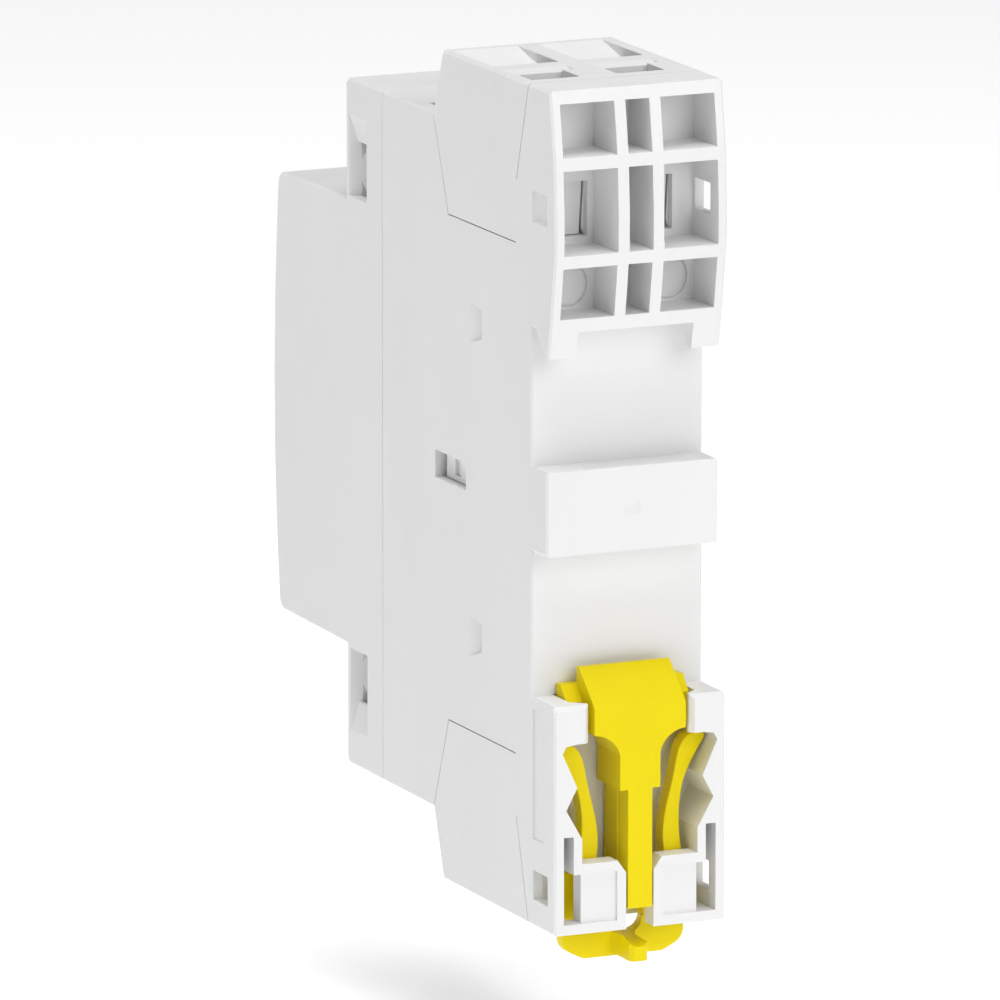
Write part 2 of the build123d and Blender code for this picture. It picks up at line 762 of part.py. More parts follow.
def shoulder_grip():
    """Grip recess in the side of a shoulder, with a ramp at its outer end."""
    front = GRIP_FRONT_Y
    rear = GRIP_REAR_Y
    floor_x = GRIP_FLOOR_X
    plan = [(HALF + 1, front), (HALF, front), (floor_x, GRIP_BEND_Y), (floor_x, rear), (HALF + 1, rear)]
    pocket = prism_z(plan, NOSE_TOP_Z + EDGE, GRIP_RAMP_Z)
    ramp_x = HALF - GRIP_RAMP_DEPTH
    ramp = [(HALF + 1, GRIP_RAMP_Z), (ramp_x, GRIP_RAMP_Z), (HALF, GRIP_TOP_Z), (HALF + 1, GRIP_TOP_Z)]
    slope = prism_y(ramp, front, rear) & prism_z(plan, GRIP_RAMP_Z - 1, GRIP_TOP_Z)
    return pocket + slope


def front_cover():
    """The front moulding: shoulders with screw access and the nose with its windows."""
    cover = soft_sides(front_face(), [front_seam()])
    nose_room = box(
        -INNER_X,
        INNER_X,
        NOSE_CORNER_Y + WALL,
        SEAM_Y + 1,
        NOSE_BOTTOM_Z + WALL,
        NOSE_TOP_Z - WALL - NOSE_DRAFT,
    )
    cover = cover - nose_room
    shoulder_room = box(
        -INNER_X,
        INNER_X,
        SHOULDER_FRONT_Y + WALL,
        SEAM_Y + 1,
        NOSE_TOP_Z,
        SHOULDER_Z - WALL,
    )
    tower = COIL_HEAD_RADIUS + WALL
    towers = rod_y(COIL_X, COIL_SCREW_Z, tower, SHOULDER_FRONT_Y, SEAM_Y)
    bores = rod_y(COIL_X, COIL_SCREW_Z, COIL_HEAD_RADIUS + SCREW_CLEARANCE, -FREE * 2, SEAM_Y + 1)
    for side in (1, -1):
        towers = towers + rod_y(
            pole_x(side),
            POWER_SCREW_Z,
            POWER_HEAD_RADIUS + WALL,
            SHOULDER_FRONT_Y,
            SEAM_Y,
        )
        bores = bores + rod_y(
            pole_x(side),
            POWER_SCREW_Z,
            POWER_HEAD_RADIUS + SCREW_CLEARANCE,
            -FREE * 2,
            SEAM_Y + 1,
        )
    shoulder = shoulder_room - towers + bores
    grips = both_sides(shoulder_grip())
    cover = cover - shoulder - lower(shoulder) - grips - lower(grips)
    window = box(
        -STATE_WINDOW_HALF_X,
        STATE_WINDOW_HALF_X,
        NOSE_FRONT_Y - 1,
        NOSE_CORNER_Y + WALL + 1,
        STATE_WINDOW_Z - STATE_WINDOW_HALF_Z,
        STATE_WINDOW_Z + STATE_WINDOW_HALF_Z,
    )
    lens_hole = rod_y(0, LENS_Z, LENS_RADIUS, NOSE_FRONT_Y - 1, NOSE_CORNER_Y + WALL + 1)
    label_bed = box(
        -LABEL_HALF_X,
        LABEL_HALF_X,
        -FREE * 3,
        NOSE_CORNER_Y + LABEL_BED,
        LABEL_BOTTOM_Z,
        LABEL_TOP_Z,
    )
    return cover - window - lens_hole - label_bed


def label_cover():
    """Clear flap over the marking area on the front of the nose."""
    gap = LABEL_GAP
    back = NOSE_CORNER_Y + LABEL_BED
    flap = box(
        -LABEL_HALF_X + gap,
        LABEL_HALF_X - gap,
        NOSE_FRONT_Y + LABEL_EDGE,
        back,
        LABEL_BOTTOM_Z + gap,
        LABEL_TOP_Z - gap,
    )
    front_edges = flap.faces().sort_by(Axis.Y)[0].edges()
    return fillet(front_edges, LABEL_EDGE)


def indicator_lens():
    """Small round lens above the state window."""
    back = NOSE_CORNER_Y + WALL
    lens = rod_y(0, LENS_Z, LENS_RADIUS - PAST / 2, NOSE_CORNER_Y - LENS_STAND, back)
    lens = fillet(lens.edges().group_by(Axis.Y)[0], LENS_LIP)
    return lens + rod_y(0, LENS_Z, LENS_RADIUS + LENS_LIP, back, back + LENS_FLANGE)


# ---------------------------------------------------------------- rail clip

def clip_head():
    """Head of the clip, which catches the lower edge of the rail."""
    side = [
        (CLIP_CATCH_Y, CLIP_HEAD_TOP_Z),
        (CLIP_HEAD_BEVEL_Y, CLIP_HEAD_TOP_Z),
        (CLIP_Y, CLIP_HEAD_BEVEL_Z),
        (CLIP_Y, STEM_STEP_Z),
        (CLIP_FLOOR_Y, STEM_STEP_Z),
        (CLIP_FLOOR_Y, CLIP_EDGE_Z),
        (CLIP_CATCH_Y, CLIP_EDGE_Z),
    ]
    block = prism_x(side, -CLIP_HEAD_HALF_X, CLIP_HEAD_HALF_X)
    mid = (3.0, -22.5)
    half = [
        Line((0, 0, CLIP_HEAD_TOP_Z), (CLIP_HEAD_HALF_X, 0, CLIP_HEAD_TOP_Z)),
        Line((CLIP_HEAD_HALF_X, 0, CLIP_HEAD_TOP_Z), (CLIP_HEAD_HALF_X, 0, CLIP_HEAD_BOTTOM_Z)),
        ThreePointArc(
            (CLIP_HEAD_HALF_X, 0, CLIP_HEAD_BOTTOM_Z), (mid[0], 0, mid[1]), (STEM_WIDE_HALF_X, 0, -23.9)
        ),
        Line((STEM_WIDE_HALF_X, 0, -23.9), (STEM_WIDE_HALF_X, 0, STEM_STEP_Z)),
        Line((STEM_WIDE_HALF_X, 0, STEM_STEP_Z), (0, 0, STEM_STEP_Z)),
        Line((0, 0, STEM_STEP_Z), (0, 0, CLIP_HEAD_TOP_Z)),
    ]
    half_face = make_face(half)
    right = extrude(half_face, amount=FREE, both=True, dir=(0, 1, 0))
    return block & both_sides(right)


def clip_ears():
    """Guide ears of the clip, behind the tabs of the housing."""
    ear = [
        (CLIP_FLOOR_Y, CLIP_EDGE_Z),
        (CLIP_CATCH_Y, CLIP_EDGE_Z),
        (CLIP_EAR_Y, CLIP_EDGE_Z - CLIP_EAR_DROP),
        (CLIP_EAR_Y, CLIP_HEAD_BOTTOM_Z),
        (CLIP_FLOOR_Y, CLIP_HEAD_BOTTOM_Z),
    ]
    return prism_x(ear, -CLIP_EAR_HALF_X, CLIP_EAR_HALF_X)


def clip_stem():
    """Stem of the clip with its deeper rib."""
    stem = prism_y(
        [
            (-STEM_HALF_X, STEM_STEP_Z + SUNK),
            (STEM_HALF_X, STEM_STEP_Z + SUNK),
            (STEM_HALF_X, STEM_END_Z),
            (-STEM_HALF_X, STEM_END_Z),
        ],
        RIB_BACK_Y,
        CLIP_Y,
    )
    stem = chamfer(stem.edges().filter_by(Axis.X).sort_by(Axis.Z)[:1], 0.5)
    rib = box(-STEM_RIB_HALF_X, STEM_RIB_HALF_X, CLIP_FLOOR_Y, RIB_BACK_Y, STEM_END_Z, STEM_STEP_Z + SUNK)
    return stem + rib


def clip_handle():
    """Handle plate below the housing, with the lug that takes a screwdriver."""
    plate = prism_y(
        [
            (-HANDLE_HALF_X, HANDLE_TOP_Z),
            (HANDLE_HALF_X, HANDLE_TOP_Z),
            (HANDLE_HALF_X, HANDLE_BOTTOM_Z + HANDLE_CORNER / 2),
            (HANDLE_HALF_X - HANDLE_CORNER, HANDLE_BOTTOM_Z),
            (-HANDLE_HALF_X + HANDLE_CORNER, HANDLE_BOTTOM_Z),
            (-HANDLE_HALF_X, HANDLE_BOTTOM_Z + HANDLE_CORNER / 2),
        ],
        CLIP_FLOOR_Y,
        HANDLE_Y,
    )
    lower_corners = plate.edges().filter_by(Axis.Y).sort_by(Axis.Z)[:4]
    plate = fillet(lower_corners, HANDLE_RADIUS)
    notch_x = TROUGH_FRONT_X
    notch = box(
        notch_x - TROUGH_RADIUS,
        notch_x + TROUGH_RADIUS,
        -1,
        HANDLE_Y + 1,
        TROUGH_FRONT_Z,
        STEM_END_Z,
    )
    lug = box(-LUG_HALF_X, LUG_HALF_X, HANDLE_Y - SUNK, LUG_BACK_Y, LUG_BOTTOM_Z, LUG_TOP_Z)
    lug = chamfer(lug.edges().filter_by(Axis.Z).group_by(Axis.Y)[-1], LUG_CHAMFER)
    gusset = prism_z(
        [
            (LUG_HALF_X + LUG_CHAMFER, HANDLE_Y),
            (LUG_HALF_X, HANDLE_Y + 2 * LUG_CHAMFER),
            (-LUG_HALF_X, HANDLE_Y + 2 * LUG_CHAMFER),
            (-LUG_HALF_X - LUG_CHAMFER, HANDLE_Y),
            (-LUG_HALF_X - LUG_CHAMFER, HANDLE_Y - SUNK),
            (LUG_HALF_X + LUG_CHAMFER, HANDLE_Y - SUNK),
        ],
        LUG_BOTTOM_Z,
        LUG_TOP_Z,
    )
    return plate + lug + gusset - notch - handle_trough()


def handle_trough():
    """Rounded trough that runs down through the handle plate and along the top of the lug."""
    front = Vector(TROUGH_FRONT_X, CLIP_FLOOR_Y, TROUGH_FRONT_Z)
    back = Vector(0, LUG_BACK_Y, TROUGH_BACK_Z)
    along = (back - front).normalized()
    start = front - along * 2
    rod = Cylinder(TROUGH_RADIUS, (back - front).length + 4, align=(Align.CENTER, Align.CENTER, Align.MIN))
    return Plane(origin=start, z_dir=along) * rod


def rail_clip():
    """The sliding rail clip, without its two spring arms."""
    clip = clip_head() + clip_ears() + clip_stem() + clip_handle()
    return clip


def rail_clip_spring_arms():
    """The two spring arms that lock the clip in the notches of the bay."""
    root = HANDLE_TOP_Z - 1.5
    inner_points = [
        (3.52, -34.1),
        (3.83, -29.6),
        (4.49, -27.0),
        (4.85, -25.2),
        (5.45, -23.7),
        (6.9, -22.85),
    ]
    outer_points = [(7.72, -23.6), (6.7, -25.2), (5.79, -27.0), (5.2, -29.6), (5.38, -34.1)]
    inner = Spline(*[(x, 0, z) for x, z in inner_points])
    outer = Spline(*[(x, 0, z) for x, z in outer_points])
    tip = ThreePointArc(inner @ 1, (ARM_TIP_X, 0, -23.1), outer @ 0)
    foot = Polyline(outer @ 1, (5.38, 0, root), (3.52, 0, root), inner @ 0)
    face = make_face([inner, tip, outer] + foot.edges())
    arm = Pos(0, HANDLE_Y, 0) * extrude(face, amount=ARM_BACK_Y - HANDLE_Y, dir=(0, 1, 0))
    return [arm, other_side(arm)]


# ---------------------------------------------------------------- terminals

def thread(x, z, radius, y0, y1):
    """A screw thread as a stack of shallow ridges, with a plain core at each end."""
    pitch = THREAD_PITCH
    depth = THREAD_DEPTH
    turns = int((y1 - y0 - pitch) / pitch)
    points = [(0, 0), (radius - depth, 0)]
    for turn in range(turns):
        start = pitch / 2 + turn * pitch
        points.append((radius - depth, start))
        points.append((radius, start + pitch / 2))
    points.append((radius - depth, pitch / 2 + turns * pitch))
    points.append((radius - depth, y1 - y0))
    points.append((0, y1 - y0))
    outline = Polyline(*[(r, h, 0) for r, h in points], close=True)
    return Pos(x, y0, z) * revolve(make_face(outline), axis=Axis.Y)


def terminal_screw(x, z, head_radius, front_y, head_length, thread_radius, tip_y):
    """A captive terminal screw with a cross and slot recess in its head."""
    head = rod_y(x, z, head_radius, front_y, front_y + head_length)
    head = chamfer(head.edges().group_by(Axis.Y)[0], HEAD_CHAMFER)
    slot_half = 0.15 * head_radius
    depth = 0.6 * head_length
    reach = head_radius / 2
    start = front_y - 1
    end = front_y + depth
    slot = box(x - head_radius, x + head_radius, start, front_y + depth / 2, z - slot_half, z + slot_half)
    cross = box(x - slot_half, x + slot_half, start, end, z - reach, z + reach)
    bar = box(x - reach, x + reach, start, end, z - slot_half, z + slot_half)
    shank = thread(x, z, thread_radius, front_y + head_length - PAST, tip_y)
    return head - slot - cross - bar + shank


def box_clamp(x, z, half_x, height, front_y, rear_y, nut_wall, wall, bore_radius):
    """A box clamp: a folded ring with its threaded wall at the front."""
    z0 = z - height / 2
    z1 = z + height / 2
    ring = box(x - half_x, x + half_x, front_y, rear_y, z0, z1)
    ring = chamfer(ring.edges().filter_by(Axis.Z), CAGE_CORNER)
    inside = box(x - half_x + wall, x + half_x - wall, front_y + nut_wall, rear_y - wall, z0 - 1, z1 + 1)
    return ring - inside - rod_y(x, z, bore_radius, front_y - 1, front_y + nut_wall + SUNK)


def power_screw(side, level):
    """Captive screw of one power terminal."""
    screw = terminal_screw(
        pole_x(side),
        POWER_SCREW_Z,
        POWER_HEAD_RADIUS,
        POWER_HEAD_FRONT_Y,
        POWER_HEAD_LENGTH,
        POWER_THREAD_RADIUS,
        POWER_TIP_Y,
    )
    return screw if level > 0 else lower(screw)


def power_cage(side, level):
    """Box clamp of one power terminal, drawn open."""
    cage = box_clamp(
        pole_x(side),
        POWER_SCREW_Z,
        POWER_CAGE_HALF_X,
        POWER_CAGE_HEIGHT,
        POWER_CAGE_FRONT_Y,
        POWER_CAGE_REAR_Y,
        POWER_NUT_WALL,
        CAGE_WALL,
        POWER_THREAD_RADIUS + NUT_CLEARANCE,
    )
    return cage if level > 0 else lower(cage)


def power_conductor(side, level):
    """Copper strip from a box clamp to its fixed contact."""
    x = pole_x(side)
    t = CONDUCTOR_THICKNESS
    top = POWER_SCREW_Z + POWER_CAGE_HEIGHT / 2 + CONDUCTOR_OVERHANG
    contact_y = SUPPORT_FRONT_Y - t
    strip = prism_x(
        [
            (POWER_TIP_Y, top),
            (POWER_TIP_Y + t, top),
            (POWER_TIP_Y + t, CONDUCTOR_RUN_Z),
            (SUPPORT_FRONT_Y, CONDUCTOR_RUN_Z),
            (SUPPORT_FRONT_Y, CONDUCTOR_END_Z),
            (contact_y, CONDUCTOR_END_Z),
            (contact_y, CONDUCTOR_RUN_Z + t),
            (POWER_TIP_Y, CONDUCTOR_RUN_Z + t),
        ],
        x - CONDUCTOR_HALF_X,
        x + CONDUCTOR_HALF_X,
    )
    return strip if level > 0 else lower(strip)


def coil_screw(level):
    """Captive screw of one coil terminal."""
    screw = terminal_screw(
        COIL_X,
        COIL_SCREW_Z,
        COIL_HEAD_RADIUS,
        COIL_HEAD_FRONT_Y,
        COIL_HEAD_LENGTH,
        COIL_THREAD_RADIUS,
        COIL_TIP_Y,
    )
    return screw if level > 0 else lower(screw)


def coil_cage(level):
    """Box clamp of one coil terminal, drawn open."""
    cage = box_clamp(
        COIL_X,
        COIL_SCREW_Z,
        COIL_CAGE_HALF_X,
        COIL_CAGE_HEIGHT,
        COIL_CAGE_FRONT_Y,
        COIL_CAGE_REAR_Y,
        COIL_NUT_WALL,
        COIL_CAGE_WALL,
        COIL_THREAD_RADIUS + NUT_CLEARANCE,
    )
    return cage if level > 0 else lower(cage)


def coil_lead(level):
    """Strip from a coil clamp down to the flange of the bobbin."""
    t = LEAD_THICKNESS
    inner = LEAD_OUTER_X - t
    foot_top = COIL_SCREW_Z - COIL_CAGE_HEIGHT / 2 - SLIDE_CLEARANCE
    foot_bottom = foot_top - LEAD_FOOT
    half = COIL_CAGE_HALF_X - COIL_CAGE_WALL - SLIDE_CLEARANCE
    drop_y = POWER_HEAD_FRONT_Y + POWER_HEAD_LENGTH + SLIDE_CLEARANCE
    drop_end = COIL_TIP_Y + LEAD_RUN
    reach_top = RETURN_SPRING_Z - LEAD_FOOT
    reach_bottom = reach_top - LEAD_REACH
    tab = box(
        COIL_X - half,
        COIL_X + half,
        COIL_TIP_Y,
        COIL_TIP_Y + t,
        foot_bottom,
        COIL_SCREW_Z + COIL_CAGE_HEIGHT / 2,
    )
    foot = box(COIL_X - half, LEAD_OUTER_X, COIL_TIP_Y, COIL_TIP_Y + t, foot_bottom, foot_top)
    side = box(inner, LEAD_OUTER_X, COIL_TIP_Y, drop_end, foot_bottom, foot_top)
    drop = box(inner, LEAD_OUTER_X, drop_y, drop_end, reach_bottom, foot_top)
    reach = box(inner, LEAD_OUTER_X, drop_y, flange_front() + FLANGE_THICKNESS, reach_bottom, reach_top)
    lead = tab + foot + side + drop + reach
    return lead if level > 0 else lower(lead)


# ---------------------------------------------------------------- magnet

def flange_front():
    """Front face of the front flange of the bobbin."""
    return CORE_POLE_Y - POLE_SETBACK


def fixed_core():
    """Laminated fixed core: a yoke, a middle limb and two outer limbs."""
    yoke = box(-CORE_HALF_X, CORE_HALF_X, CORE_BACK_Y - CORE_YOKE, CORE_BACK_Y, -CORE_HALF_Z, CORE_HALF_Z)
    middle = box(
        -CORE_HALF_X,
        CORE_HALF_X,
        CORE_POLE_Y,
        CORE_BACK_Y,
        -CENTRE_LIMB_HALF_Z,
        CENTRE_LIMB_HALF_Z,
    )
    limb = box(-CORE_HALF_X, CORE_HALF_X, CORE_POLE_Y, CORE_BACK_Y, CORE_HALF_Z - CORE_LIMB, CORE_HALF_Z)
    ring_slot = box(
        -CORE_HALF_X - 1,
        CORE_HALF_X + 1,
        CORE_POLE_Y - 1,
        CORE_POLE_Y + SHADING_DEPTH,
        CORE_HALF_Z - CORE_LIMB / 2 - SHADING_WIDTH / 2,
        CORE_HALF_Z - CORE_LIMB / 2 + SHADING_WIDTH / 2,
    )
    limb = limb - ring_slot
    return yoke + middle + limb + lower(limb)


def shading_rings():
    """Copper shading rings set in the outer pole faces."""
    z0 = CORE_HALF_Z - CORE_LIMB / 2 - SHADING_WIDTH / 2
    z1 = z0 + SHADING_WIDTH
    bar = box(-CORE_HALF_X, CORE_HALF_X, CORE_POLE_Y + SLIDE_CLEARANCE, CORE_POLE_Y + SHADING_DEPTH, z0, z1)
    return [bar, lower(bar)]


def core_pad():
    """Rubber pad between the core and the floor of the cavity."""
    return box(
        -CORE_HALF_X,
        CORE_HALF_X,
        CORE_BACK_Y,
        CORE_BACK_Y + PAD_THICKNESS,
        -CORE_HALF_Z + 2,
        CORE_HALF_Z - 2,
    )


def bobbin():
    """Coil former around the middle limb, with a front flange that seats the springs."""
    gap = FORMER_GAP
    x_in = CORE_HALF_X + gap
    z_in = CENTRE_LIMB_HALF_Z + gap
    x_out = x_in + BOBBIN_WALL
    z_out = z_in + BOBBIN_WALL
    front = flange_front()
    rear = CORE_BACK_Y - CORE_YOKE - gap
    tube = box(-x_out, x_out, front, rear, -z_out, z_out)
    flange = box(
        -FLANGE_HALF_X,
        FLANGE_HALF_X,
        front,
        front + FLANGE_THICKNESS,
        -FLANGE_HALF_Z,
        FLANGE_HALF_Z,
    )
    rear_flange = box(
        -WINDING_HALF_X,
        WINDING_HALF_X,
        rear - FLANGE_THICKNESS,
        rear,
        -WINDING_HALF_Z,
        WINDING_HALF_Z,
    )
    hole = box(-x_in, x_in, front - 1, rear + 1, -z_in, z_in)
    pole = box(-x_in, x_in, front - 1, front + 2, CORE_HALF_Z - CORE_LIMB - gap, CORE_HALF_Z + gap)
    return tube + flange + rear_flange - hole - pole - lower(pole)


def coil_winding():
    """The winding, as one packed block round the bobbin."""
    gap = FORMER_GAP
    x_in = CORE_HALF_X + gap + BOBBIN_WALL
    z_in = CENTRE_LIMB_HALF_Z + gap + BOBBIN_WALL
    front = flange_front() + FLANGE_THICKNESS
    rear = CORE_BACK_Y - CORE_YOKE - gap - FLANGE_THICKNESS
    block = box(-WINDING_HALF_X, WINDING_HALF_X, front, rear, -WINDING_HALF_Z, WINDING_HALF_Z)
    block = fillet(block.edges().filter_by(Axis.Y), CONTACT_CORNER)
    return block - box(-x_in, x_in, front - 1, rear + 1, -z_in, z_in)


def coil_shield():
    """Insulating side plates between the winding and the housing, seen through the side window."""
    front = SIDE_WINDOW_FRONT_Y + SHIELD_GAP
    plate = box(FLANGE_HALF_X + STRIP_GAP / 2, INNER_X, front, SHIELD_REAR_Y, -SHIELD_HALF_Z, SHIELD_HALF_Z)
    gap = STRIP_GAP
    pad_low = SIDE_WINDOW_BOTTOM_Z + gap
    pad_high = SIDE_WINDOW_TOP_Z - gap
    pad = box(INNER_X - SUNK, SHIELD_PAD_X, front, SIDE_WINDOW_REAR_Y - gap, pad_low, pad_high)
    step_y = front + SHIELD_STEP
    step = box(
        SHIELD_PAD_X - STEP_DEPTH,
        HALF,
        step_y,
        step_y + STEP_WIDTH,
        pad_low + SUNK,
        SHIELD_HALF_Z / 2,
    )
    side = plate + pad - step
    return [side, other_side(side)]


def armature():
    """Laminated armature, carried by its pin."""
    face = CORE_POLE_Y - STROKE
    back = face - ARMATURE_LIMB
    front = back - ARMATURE_YOKE
    yoke = box(-CORE_HALF_X, CORE_HALF_X, front, back, -CORE_HALF_Z, CORE_HALF_Z)
    middle = box(-CORE_HALF_X, CORE_HALF_X, back, face - STRIP_GAP, -CENTRE_LIMB_HALF_Z, CENTRE_LIMB_HALF_Z)
    limb = box(-CORE_HALF_X, CORE_HALF_X, back, face, CORE_HALF_Z - CORE_LIMB, CORE_HALF_Z)
    hole = rod_x(pin_y(), 0, PIN_RADIUS + PIN_CLEARANCE, -HALF, HALF)
    return yoke + middle + limb + lower(limb) - hole


def pin_y():
    """Depth of the armature pin."""
    return CORE_POLE_Y - STROKE - ARMATURE_LIMB - ARMATURE_YOKE / 2


def armature_front():
    """Front face of the armature at rest."""
    return CORE_POLE_Y - STROKE - ARMATURE_LIMB - ARMATURE_YOKE


def armature_pin():
    """Pin that holds the armature between the cheeks of the carrier."""
    return rod_x(pin_y(), 0, PIN_RADIUS, -CHEEK_OUTER_X, CHEEK_OUTER_X)


# ---------------------------------------------------------------- contacts

def tip_face_y():
    """Front face of the fixed contact tips."""
    return SUPPORT_FRONT_Y - CONDUCTOR_THICKNESS - TIP_THICKNESS


def bridge_rear_y():
    """Rear face of the contact bridges, where they sit on the carrier."""
    return tip_face_y() - CONTACT_GAP - BRIDGE_TIP_THICKNESS


def fixed_contact_tips():
    """Silver tips on the four fixed conductors."""
    tips = []
    for side, level in POLES.values():
        tip = rod_y(pole_x(side), level * TIP_Z, TIP_RADIUS, tip_face_y(), tip_face_y() + TIP_THICKNESS)
        tips.append(fillet(tip.edges().group_by(Axis.Y)[0], TIP_CORNER))
    return tips


def contact_bridge(side):
    """Moving bridge of one pole with its two tips."""
    x = pole_x(side)
    rear = bridge_rear_y()
    front = rear - BRIDGE_THICKNESS
    bridge = box(x - BRIDGE_HALF_X, x + BRIDGE_HALF_X, front, rear, -BRIDGE_HALF_Z, BRIDGE_HALF_Z)
    bridge = fillet(bridge.edges().filter_by(Axis.Y), CONTACT_CORNER)
    for level in (1, -1):
        bridge = bridge + rod_y(x, level * TIP_Z, TIP_RADIUS, rear - PAST, rear + BRIDGE_TIP_THICKNESS)
    return bridge


def contact_support():
    """Inner frame that backs the fixed conductors and guides the carrier."""
    rear = SUPPORT_FRONT_Y + SUPPORT_THICKNESS
    frame = box(
        -INNER_X + SLIDE_CLEARANCE,
        INNER_X - SLIDE_CLEARANCE,
        SUPPORT_FRONT_Y,
        rear,
        -CONDUCTOR_RUN_Z + STRIP_GAP,
        CONDUCTOR_RUN_Z - STRIP_GAP,
    )
    guide_x = NECK_HALF_X + SLIDE_CLEARANCE
    guide_z = CARRIER_HALF_Z + SLIDE_CLEARANCE
    return frame - box(-guide_x, guide_x, SUPPORT_FRONT_Y - 1, rear + 1, -guide_z, guide_z)


def contact_carrier():
    """Carrier of the contact bridges and the armature."""
    rear = bridge_rear_y()
    window_front = rear - BRIDGE_THICKNESS - WINDOW_SPRING_ROOM
    head_front = window_front - CARRIER_WALL
    head = box(
        -CARRIER_HALF_X,
        CARRIER_HALF_X,
        head_front,
        rear + CARRIER_SEAT,
        -CARRIER_HALF_Z,
        CARRIER_HALF_Z,
    )
    for side in (1, -1):
        x = pole_x(side)
        head = head - box(
            x - WINDOW_HALF_X,
            x + WINDOW_HALF_X,
            window_front,
            rear,
            -CARRIER_HALF_Z - 1,
            CARRIER_HALF_Z + 1,
        )
        head = head + rod_y(
            x,
            0,
            CONTACT_SPRING_RADIUS - 2 * SPRING_WIRE_RADIUS,
            window_front - PAST,
            window_front + SPRING_PEG,
        )
    plate_front = armature_front() - ARM_PLATE_THICKNESS
    neck = box(-NECK_HALF_X, NECK_HALF_X, rear + 1, plate_front + SUNK, -CARRIER_HALF_Z, CARRIER_HALF_Z)
    plate = box(
        -CHEEK_OUTER_X,
        CHEEK_OUTER_X,
        plate_front,
        armature_front(),
        -ARM_PLATE_HALF_Z,
        ARM_PLATE_HALF_Z,
    )
    cheek_in = CORE_HALF_X + STRIP_GAP
    cheek = box(cheek_in, CHEEK_OUTER_X, plate_front, pin_y() + CHEEK_RUN, -CARRIER_HALF_Z, CARRIER_HALF_Z)
    cheek = cheek - rod_x(pin_y(), 0, PIN_RADIUS, 0, HALF)
    stalk = box(
        -STALK_HALF_X,
        STALK_HALF_X,
        NOSE_CORNER_Y + WALL + FLAG_GAP + FLAG_DEPTH,
        head_front + SUNK,
        -CARRIER_HALF_Z,
        CARRIER_HALF_Z,
    )
    return head + neck + plate + both_sides(cheek) + stalk


def state_flag():
    """Coloured flag on the carrier, seen through the window in the nose."""
    front = NOSE_CORNER_Y + WALL + FLAG_GAP
    rear = front + FLAG_DEPTH
    top = STATE_WINDOW_Z + STATE_WINDOW_HALF_Z + SLIDE_CLEARANCE
    return box(-FLAG_HALF_X, FLAG_HALF_X, front, rear, -CARRIER_HALF_Z, top)


def coil_spring(x, z, radius, y0, y1, turns):
    """A round-wire compression spring along the depth."""
    wire = SPRING_WIRE_RADIUS
    height = y1 - y0 - 2 * wire
    path = Helix(pitch=height / turns, height=height, radius=radius)
    section = Plane(origin=path @ 0, z_dir=path % 0) * Circle(wire)
    spring = sweep(section, path=path, is_frenet=True)
    return Pos(x, y0 + wire, z) * Rot(-90, 0, 0) * spring


def contact_spring(side):
    """Spring that presses one bridge against the seat of the carrier."""
    front = bridge_rear_y() - BRIDGE_THICKNESS - WINDOW_SPRING_ROOM
    return coil_spring(pole_x(side), 0, CONTACT_SPRING_RADIUS, front, front + WINDOW_SPRING_ROOM, 5)


def return_spring(level):
    """Spring that pushes the carrier away from the coil."""
    return coil_spring(
        0,
        level * RETURN_SPRING_Z,
        RETURN_SPRING_RADIUS,
        armature_front(),
        flange_front(),
        6,
    )


# ---------------------------------------------------------------- output

def all_parts():
    """Every named piece of the contactor."""
    parts = {
        "base_housing": base_housing(),
        "front_cover": front_cover(),
        "terminal_cover_upper": terminal_cover(TOP_Z),
        "terminal_cover_lower": lower(terminal_cover(-BOTTOM_Z)),
        "label_cover": label_cover(),
        "indicator_lens": indicator_lens(),
        "rail_clip": rail_clip(),
        "rail_clip_spring_arms": rail_clip_spring_arms(),
        "fixed_core": fixed_core(),
        "shading_rings": shading_rings(),
        "core_pad": core_pad(),
        "bobbin": bobbin(),
        "coil_winding": coil_winding(),
        "coil_shield": coil_shield(),
        "armature": armature(),
        "armature_pin": armature_pin(),
        "contact_support": contact_support(),
        "contact_carrier": contact_carrier(),
        "state_flag": state_flag(),
        "fixed_contact_tips": fixed_contact_tips(),
    }
    for pole, side in (("1_2", 1), ("3_4", -1)):
        parts["contact_bridge_" + pole] = contact_bridge(side)
        parts["contact_spring_" + pole] = contact_spring(side)
    for name, level in (("a1", 1), ("a2", -1)):
        parts["coil_screw_" + name] = coil_screw(level)
        parts["coil_cage_" + name] = coil_cage(level)
        parts["coil_lead_" + name] = coil_lead(level)
    for name, level in (("upper", 1), ("lower", -1)):
        parts["return_spring_" + name] = return_spring(level)
    for name, (side, level) in POLES.items():
        parts["power_screw_" + name] = power_screw(side, level)
        parts["power_cage_" + name] = power_cage(side, level)
        parts["power_conductor_" + name] = power_conductor(side, level)
    return parts


def write_parts():
    """Write one STEP file for each named piece."""
    os.makedirs("parts", exist_ok=True)
    for name, shape in all_parts().items():
        if isinstance(shape, list):
            shape = Compound(children=[solid for piece in shape for solid in piece.solids()])
        export_step(shape, "parts/" + name + ".step")


write_parts()
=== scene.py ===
import json
import math

